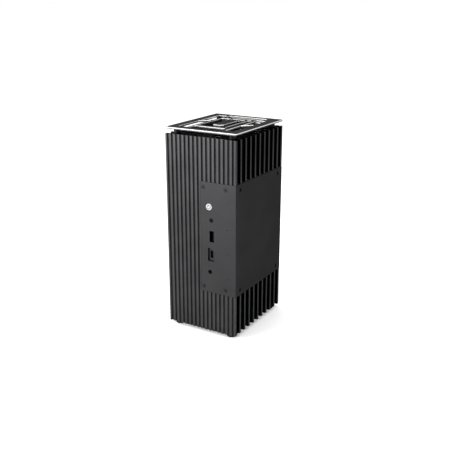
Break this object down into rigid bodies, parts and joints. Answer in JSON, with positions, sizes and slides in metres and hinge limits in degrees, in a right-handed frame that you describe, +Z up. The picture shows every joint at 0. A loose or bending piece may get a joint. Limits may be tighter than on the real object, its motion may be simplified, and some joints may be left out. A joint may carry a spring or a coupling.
{
  "type": "fanless mini pc",
  "caption": "Upright fanless mini computer: finned black aluminium halves around a board bay, front ports, a sprung power button, rubber feet and a floating maze-cut top plate.",
  "frame": {"origin": "centre of the footprint, on the surface that the four feet stand on", "axes": "+Z up, -Y is the front with its ports, +X points to the removable side cover"},
  "size_m": [0.095, 0.1134, 0.248],
  "materials": {
    "anodised_aluminium": "satin black anodised, extruded",
    "anodised_plate": "fine satin black anodised, milled",
    "grille_aluminium": "satin dark anodised with polished edges",
    "black_steel": "black zinc plated steel",
    "foot_rubber": "moulded black rubber",
    "tray_steel": "bright zinc plated sheet",
    "copper": "bare copper",
    "bare_aluminium": "bare milled aluminium",
    "nickel": "nickel plated steel",
    "circuit_board": "solder-masked glass epoxy",
    "black_plastic": "moulded black plastic",
    "processor_package": "laminate with a bare silicon die",
    "thermal_compound": "soft grey thermal pad",
    "capacitor_can": "drawn aluminium can",
    "infrared_lens": "dark infrared-clear plastic",
    "button_metal": "turned aluminium, bright",
    "switch_plunger": "white plastic",
    "spring_steel": "drawn spring wire"
  },
  "bodies": {
    "chassis": {"antenna_plugs": "black_plastic", "audio_jack": "black_plastic", "block_screws": "black_steel", "board_screws": "nickel", "board_standoffs": "nickel", "capacitors": "capacitor_can", "card_sockets": "black_plastic", "coin_cell": "nickel", "coin_cell_holder": "black_plastic", "controller_chips": "black_plastic", "dc_jack": "black_plastic", "foot_front_left": "foot_rubber", "foot_front_right": "foot_rubber", "foot_rear_left": "foot_rubber", "foot_rear_right": "foot_rubber", "foot_screws": "black_steel", "front_panel": "anodised_plate", "front_usb_a_shell": "nickel", "front_usb_a_tongue": "black_plastic", "front_usb_c_shell": "nickel", "front_usb_c_tongue": "black_plastic", "grille_posts": "black_steel", "heat_pipe_1": "copper", "heat_pipe_2": "copper", "heat_pipe_3": "copper", "heat_pipe_4": "copper", "infrared_receiver": "black_plastic", "infrared_window": "infrared_lens", "lan_socket": "nickel", "left_heatsink": "anodised_aluminium", "lower_bay_tray": "tray_steel", "lower_heatsink": "anodised_aluminium", "memory_module_high": "circuit_board", "memory_module_low": "circuit_board", "memory_socket_high": "black_plastic", "memory_socket_low": "black_plastic", "microphone": "black_plastic", "motherboard": "circuit_board", "panel_screws": "black_steel", "power_inductors": "black_plastic", "power_switch": "black_plastic", "processor": "processor_package", "processor_block": "bare_aluminium", "processor_block_screws": "nickel", "rear_panel": "anodised_plate", "rear_usb_socket": "nickel", "screen_socket": "nickel", "side_cover": "anodised_plate", "ssd_module": "circuit_board", "ssd_screw": "nickel", "ssd_standoff": "nickel", "thermal_pad": "thermal_compound", "top_grille": "grille_aluminium", "tray_screws": "black_steel", "upper_bay_tray": "tray_steel", "upper_heatsink": "anodised_aluminium", "video_socket": "nickel", "button_spring": "spring_steel"},
    "power_button": {"power_button": "button_metal"},
    "switch_plunger": {"switch_plunger": "switch_plunger"}
  },
  "joints": [
    {"name": "power_button_press", "type": "slide", "parent": "chassis", "child": "power_button", "axis": [0, 1, 0], "range_m": [0, 0.0006], "stiffness_N_per_m": 2500, "deforming": ["button_spring"]},
    {"name": "switch_plunger_press", "type": "slide", "parent": "chassis", "child": "switch_plunger", "axis": [0, 1, 0], "range_m": [0, 0.0006], "stiffness_N_per_m": 500}
  ],
  "couplings": [
    {"joint": "switch_plunger_press", "follows": "power_button_press", "ratio": 1}
  ]
}
